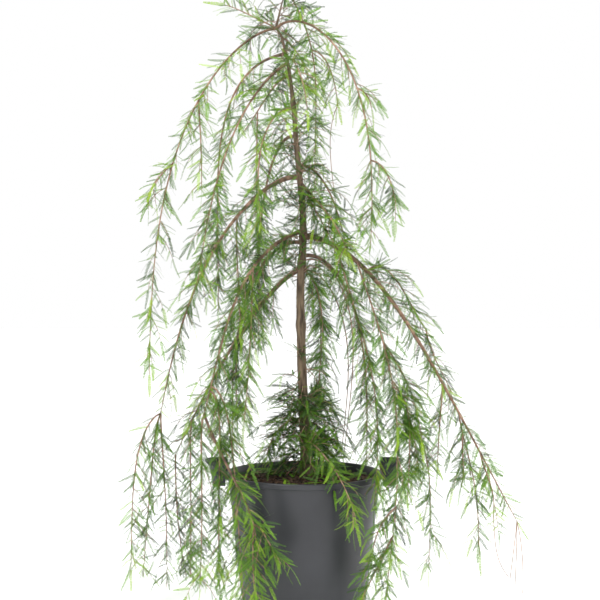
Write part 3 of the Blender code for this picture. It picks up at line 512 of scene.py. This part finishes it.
# ---------------------------------------------------------------- sprays
def spray_shape(pairs, droop, seed):
    """Unit spray along +x: a thin stalk and two ranks of lance-shaped needles."""
    rng = np.random.default_rng(seed)
    verts, tris = [], []

    def bend(x):
        return -droop * x * x

    xs = (0.0, 0.5, 1.0)
    for x in xs:
        w = 0.011 * (1.05 - x)
        verts += [(x, -w, bend(x)), (x, w, bend(x))]
    tris += [(0, 2, 3), (0, 3, 1), (2, 4, 5), (2, 5, 3)]
    for i in range(pairs):
        x = 0.05 + 0.95 * i / (pairs - 1)
        size = 0.122 * (0.62 + 0.55 * math.sin(math.pi * (0.12 + 0.72 * x)) - 0.25 * x)
        for side in (-1, 1):
            ang = math.radians(66 - 34 * x + rng.uniform(-7, 7))
            length = size * rng.uniform(0.85, 1.12)
            d = np.array([math.cos(ang), side * math.sin(ang), rng.uniform(0.05, 0.35)])
            d /= np.linalg.norm(d)
            across = np.array([-side * d[1], side * d[0], 0.0]) * 0.5 * 0.060
            base = np.array([x, 0.0, bend(x)])
            mid = base + d * length * 0.42
            k = len(verts)
            verts += [base, mid - across, base + d * length, mid + across]
            tris += [(k, k + 1, k + 2), (k, k + 2, k + 3)]
    return np.array([tuple(v) for v in verts], float), np.array(tris, int)


SHAPES = [spray_shape(13, d, s) for s, d in enumerate((0.02, 0.10, 0.20, -0.08))]
LOW, HIGH = (np.array(c, float) for c in (FRAME_BOUNDS[0], FRAME_BOUNDS[1]))
ROOM = (HIGH - LOW) * 0.03 + 0.010
FLOOR = 0.004


def unit(v):
    return v / max(np.linalg.norm(v), 1e-9)


class Sprays:
    def __init__(self):
        self.rows = []

    def add(self, at, way, length, painted_light_level):
        way = unit(way)
        tip = at + way * length
        low, high = LOW - ROOM * 0.8, HIGH + ROOM * 0.8
        if (tip < low).any() or (tip > high).any() or tip[2] < FLOOR + 0.026 or at[2] < FLOOR + 0.026:
            return
        r = math.hypot(tip[0], tip[1])
        if min(tip[2], at[2]) < POT_HEIGHT + 0.002 and (
                math.hypot(at[0], at[1]) > wall_radius(at[2])) != (r > wall_radius(tip[2]) + 0.005):
            return
        if tip[2] < POT_HEIGHT and r < wall_radius(tip[2]) + 0.004 and (
                tip[2] < soil_height(min(r, 0.19)) + 0.004):
            return
        hint = unit(np.array([0.0, 0.0, 0.9]) + RNG.normal(0, 0.55, 3))
        side = unit(np.cross(hint, way))
        up = np.cross(way, side)
        # The colour step is the painted light level plus random tone, clipped to the green steps.
        self.rows.append((at, np.stack([way, side, up]), length,
                          int(np.clip(round(painted_light_level + RNG.normal(0, 1.25)), 0, 6)),
                          int(RNG.integers(len(SHAPES)))))

    def build(self, name, nodes):
        verts, tris, index, base = [], [], [], 0
        for at, basis, length, colour, shape in self.rows:
            v, t = SHAPES[shape]
            verts.append(at + (v * length) @ basis)
            tris.append(t + base)
            index.append(np.full(len(t), colour))
            base += len(v)
        mesh_piece(name, np.vstack(verts), np.vstack(tris), NEEDLES,
                   np.concatenate(index), smooth=False, nodes=nodes)
        return sum(len(t) for t in tris)


def side_ways(way):
    a = unit(np.cross(way, (0.0, 0.0, 1.0)) + np.array([1e-4, 0, 0]))
    return a, np.cross(way, a)


def dress(name, start, sprays, twigs):
    """Sprays in turn to each side along a shoot, and short side twigs that carry their own."""
    length = SHOOTS[name][5]
    turn = RNG.uniform(0, 6.28)
    s = start
    count = 0
    while s < 1.0:
        p, q = path_point(name, s), path_point(name, min(1.0, s + 0.01))
        way = unit(q - p) if s < 0.99 else unit(path_point(name, 1.0) - path_point(name, 0.97))
        a, b = side_ways(way)
        flat = 1 - abs(way[2])
        sparse = p[2] > 1.15 or abs(p[0]) > 0.33
        step = 0.0064 if sparse else 0.0036
        count += 1
        ang = (0 if count % 2 else math.pi) + turn + RNG.normal(0, 0.85)
        out = a * math.cos(ang) + b * math.sin(ang)
        ends = 0.62 + 0.38 * min(1.0, (1 - s) / 0.12)
        # Painted light and shade in the colour step: brighter high in the crown and near the shoot's end,
        # painted shade at the back; side twigs and their end sprays a step brighter.
        painted_light = 2.4 + 1.2 * (p[2] > 1.2) + 1.4 * (s > 0.8) - 1.2 * (p[1] > 0.12)
        size = RNG.uniform(0.028, 0.056) * ends
        drift = np.array([0.0, 0.0, (0.22 + 0.3 * (p[2] > 1.45)) * flat - 0.12 * (1 - flat)])
        sprays.add(p, way * 0.62 + out * 0.78 + drift + RNG.normal(0, 0.13, 3), size, painted_light + 0.2)
        if count % (8 if sparse else 7) == 0 and s < 0.96:
            n = int(RNG.integers(3, 8))
            d = unit(way * 0.6 + out * 0.8)
            at, pts = p.copy(), [p.copy()]
            for k in range(n):
                at = at + d * 0.011
                d = unit(d + np.array([0.0, 0.0, -0.16]))
                pts.append(at.copy())
                c, e = side_ways(d)
                side = c if k % 2 else -c
                sprays.add(at, d * 0.6 + side * 0.7 + e * RNG.normal(0, 0.3),
                           RNG.uniform(0.024, 0.042), painted_light + 0.4)
            sprays.add(at, d, 0.05, painted_light + 0.9)
            relief_tube(np.array(pts), np.linspace(0.0010, 0.0006, len(pts)), 4, 0.0, twigs)
        s += step / length * RNG.uniform(0.6, 1.4) * (1 + 0.55 * math.sin(s * length * 62 + turn))
    # the tip spray of each shoot gets a bright painted light step
    sprays.add(path_point(name, 1.0), path_point(name, 1.0) - path_point(name, 0.95), 0.055, 4.6)


def trunk_shoots(sprays, twigs, chosen):
    """Short leafy shoots straight off the trunk: dense at its foot and above the clear stem."""
    # bands: low, high, number, short, long, painted light level. Painted shade at the trunk's foot,
    # brighter above the clear stem; each shoot's outer sprays get brighter painted light than those near
    # the trunk.
    bands = ((0.40, 0.60, 135, 0.03, 0.16, 1.1), (0.60, 0.72, 12, 0.03, 0.09, 1.6),
             (0.90, 1.68, 135, 0.03, 0.12, 1.6))
    for low, high, number, short, long, painted_light in [bands[i] for i in chosen]:
        for _ in range(number):
            z = RNG.uniform(low, high)
            c, r = trunk_centre(z), trunk_radius(z)
            ang = RNG.uniform(0, 2 * math.pi)
            d = unit(np.array([math.cos(ang), math.sin(ang), RNG.uniform(-0.7, 1.2)]))
            at = c + np.array([math.cos(ang), math.sin(ang), 0.0]) * r * 0.9
            length = RNG.uniform(short, long) * (1.0 if z > 0.9 else 1.1 - 0.5 * (z - low) / (high - low))
            pts = [at.copy()]
            for k in range(max(3, int(length / 0.009))):
                at = at + d * 0.009
                d = unit(d + RNG.normal(0, 0.13, 3) + np.array([0.0, 0.0, -0.10]))
                pts.append(at.copy())
                a, e = side_ways(d)
                sprays.add(at, d * 0.65 + (a if k % 2 else -a) * 0.7 + e * RNG.normal(0, 0.35),
                           RNG.uniform(0.028, 0.048), painted_light + (0.9 if k > 5 else 0.0))
            sprays.add(at, d, 0.045, painted_light + 1.2)
            relief_tube(np.array(pts), np.linspace(0.0011, 0.0006, len(pts)), 4, 0.0, twigs)


def build_foliage(twigs):
    bare_to = {row[1]: 0.07 for row in BOUGHS}
    bare_to["low_left"] = 0.16
    bare_to["pot_front"] = 0.5
    groups, done, total = 8, set(), 0
    extra = list(EXTRA)
    for g in range(groups):
        chosen = MASSES[g::groups]
        sprays = Sprays()
        names = []
        for _, _, parts in chosen:
            names += [row[0] for row in parts if row[0] not in done]
            done.update(row[0] for row in parts)
        names += extra[g::groups]
        for name in dict.fromkeys(names):
            dress(name, max(0.04, bare_to.get(name, 0.05)), sprays, twigs)
        if g == 0:      # sprays that fell on the mulch
            for _ in range(90):
                r, t = 0.19 * math.sqrt(RNG.uniform()), RNG.uniform(0, 6.28)
                at = np.array([r * math.cos(t), r * math.sin(t), soil_height(min(r, 0.19)) + 0.007])
                w = RNG.uniform(0, 6.28)
                # fallen sprays at one middle painted light step
                sprays.add(at, np.array([math.cos(w), math.sin(w), 0.12]), 0.045, 3.0)
        total += sprays.build("sprays_%d" % g, [row[0] for row in chosen])
    for name, band in (("sprays_foot", (0, 1)), ("sprays_trunk", (2,))):
        sprays = Sprays()
        trunk_shoots(sprays, twigs, band)
        total += sprays.build(name, [])
    mesh_piece("twigs", np.vstack(twigs[0]), np.vstack(twigs[1]), [YOUNG])
    print("spray triangles", total, "twig triangles", sum(len(t) for t in twigs[1]))


# ---------------------------------------------------------------- pot and mulch
def triangles(faces):
    return [(f[0], f[i], f[i + 1]) for f in faces for i in range(1, len(f) - 1)]


def build_pot():
    h, band, w = POT_HEIGHT, POT_HEIGHT - RIM_BAND, POT_WALL
    outer = [(0.0, 0.0), (POT_FOOT_R, 0.0), (wall_radius(0.007), 0.007)]
    outer += [(wall_radius(z), z) for z in np.linspace(0.03, 0.355, 14)]
    outer += [(POT_WALL_TOP_R, band), (RIM_R - 0.0020, band + 0.0006), (RIM_R - 0.0004, band + 0.0020),
              (RIM_R, band + 0.0045), (RIM_R - 0.0006, h - 0.0062), (RIM_R, h - 0.0040),
              (RIM_R - 0.0004, h - 0.0018), (RIM_R - 0.0018, h - 0.0005)]
    inner = [(RIM_R - 0.0036, h), (RIM_R - 0.0060, h - 0.0004), (RIM_R - 0.0090, h - 0.0030),
             (POT_WALL_TOP_R - w, band - 0.0060)]
    inner += [(wall_radius(z) - w, z) for z in (0.270, 0.170, 0.075, 0.012)]
    inner += [(wall_radius(0.012) - w - 0.006, POT_FLOOR), (0.0, POT_FLOOR)]
    verts, faces = revolve(outer + inner, 144)
    ob = mesh_piece("pot_body", verts, triangles(faces), [POT], nodes=("pot",))
    ob.data.set_sharp_from_angle(angle=math.radians(50))
    for name in ("pot_handle_left", "pot_handle_right"):
        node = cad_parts[name]
        node.data.materials.clear()
        node.data.materials.append(POT)


def build_mulch():
    sides, rings = 96, 26
    edge = wall_radius(0.350) - POT_WALL - 0.0012
    profile = [(0.0, 0.300), (edge - 0.012, 0.300), (edge, SOIL_EDGE_Z - 0.006)]
    radii = np.linspace(edge - 0.004, 0.012, rings)
    profile += [(r, soil_height(r)) for r in radii] + [(0.0, soil_height(0.0))]
    verts, faces = revolve(profile, sides)
    verts = np.array(verts)
    top = verts[:, 2] > SOIL_EDGE_Z - 0.001
    verts[top, 2] += RNG.uniform(-0.0035, 0.0020, top.sum())
    mesh_piece("mulch_bed", verts, triangles(faces), [EARTH], nodes=("soil",))
    vs, ts, idx, base = [], [], [], 0
    box = np.array([(x, y, z) for x in (-1, 1) for y in (-1, 1) for z in (-1, 1)], float)
    quads = ((0, 1, 3, 2), (4, 6, 7, 5), (0, 4, 5, 1), (2, 3, 7, 6), (0, 2, 6, 4), (1, 5, 7, 3))
    for _ in range(1500):
        r, t = (edge - 0.012) * math.sqrt(RNG.uniform(0.02, 1)), RNG.uniform(0, 6.28)
        size = np.array([RNG.uniform(0.004, 0.011), RNG.uniform(0.0015, 0.004),
                         RNG.uniform(0.0007, 0.0018)])
        w, tilt = RNG.uniform(0, 6.28), RNG.normal(0, 0.28)
        v = box * size * RNG.uniform(0.6, 1.1, (8, 1))
        c, s = math.cos(tilt), math.sin(tilt)
        v = v @ np.array([[c, 0, s], [0, 1, 0], [-s, 0, c]])
        c, s = math.cos(w), math.sin(w)
        v = v @ np.array([[c, s, 0], [-s, c, 0], [0, 0, 1]])
        v += (r * math.cos(t), r * math.sin(t), soil_height(r) + RNG.uniform(0.0, 0.0032))
        vs.append(v)
        tri = np.array(triangles(quads))
        ts.append(tri + base)
        idx.append(np.full(len(tri), int(RNG.integers(len(CHIPS)))))
        base += 8
    mesh_piece("mulch_chips", np.vstack(vs), np.vstack(ts), CHIPS, np.concatenate(idx),
               smooth=False)


# ---------------------------------------------------------------- studio
def studio():
    verts = [(30.0 * math.cos(t), 30.0 * math.sin(t), -0.0005)
             for t in np.linspace(0, 2 * math.pi, 64, endpoint=False)]
    faces = [tuple(range(64))]
    mesh = bpy.data.meshes.new("studio_floor")
    mesh.from_pydata(verts, [], faces)
    mesh.shade_smooth()
    mat, node = principled("studio_white", (0.93, 0.93, 0.93), 0.9)
    node.inputs["Emission Color"].default_value = (1.0, 1.0, 1.0, 1.0)
    node.inputs["Emission Strength"].default_value = 0.30
    mesh.materials.append(mat)
    floor = bpy.data.objects.new("studio_floor", mesh)
    bpy.context.scene.collection.objects.link(floor)
    world = bpy.data.worlds.new("studio")
    world.use_nodes = True
    world.node_tree.nodes["Background"].inputs["Color"].default_value = (1.0, 1.0, 1.0, 1.0)
    world.node_tree.nodes["Background"].inputs["Strength"].default_value = 1.0
    bpy.context.scene.world = world
    bpy.context.scene.view_settings.view_transform = "Standard"
    for name, place, size, power in (("key", (-2.2, -2.8, 3.0), 1.6, 70.0),
                                     ("fill", (2.6, -2.4, 1.8), 2.0, 18.0),
                                     ("top", (0.2, 0.2, 4.2), 2.2, 60.0)):
        data = bpy.data.lights.new(name, "AREA")
        data.size, data.energy = size, power
        lamp = bpy.data.objects.new(name, data)
        lamp.location = place
        lamp.rotation_euler = (Vector((0, 0, 0.8)) - Vector(place)).to_track_quat("-Z", "Y").to_euler()
        bpy.context.scene.collection.objects.link(lamp)
    data = bpy.data.cameras.new("camera")
    data.sensor_width, data.lens = 36.0, 66.54
    cam = bpy.data.objects.new("camera", data)
    cam.location = (-0.011, -3.04, 0.855)
    cam.rotation_euler = (math.pi / 2, 0.0, 0.0)
    bpy.context.scene.collection.objects.link(cam)
    bpy.context.scene.camera = cam


build_pot()
build_mulch()
build_foliage(build_wood())
studio()
bpy.context.view_layer.update()
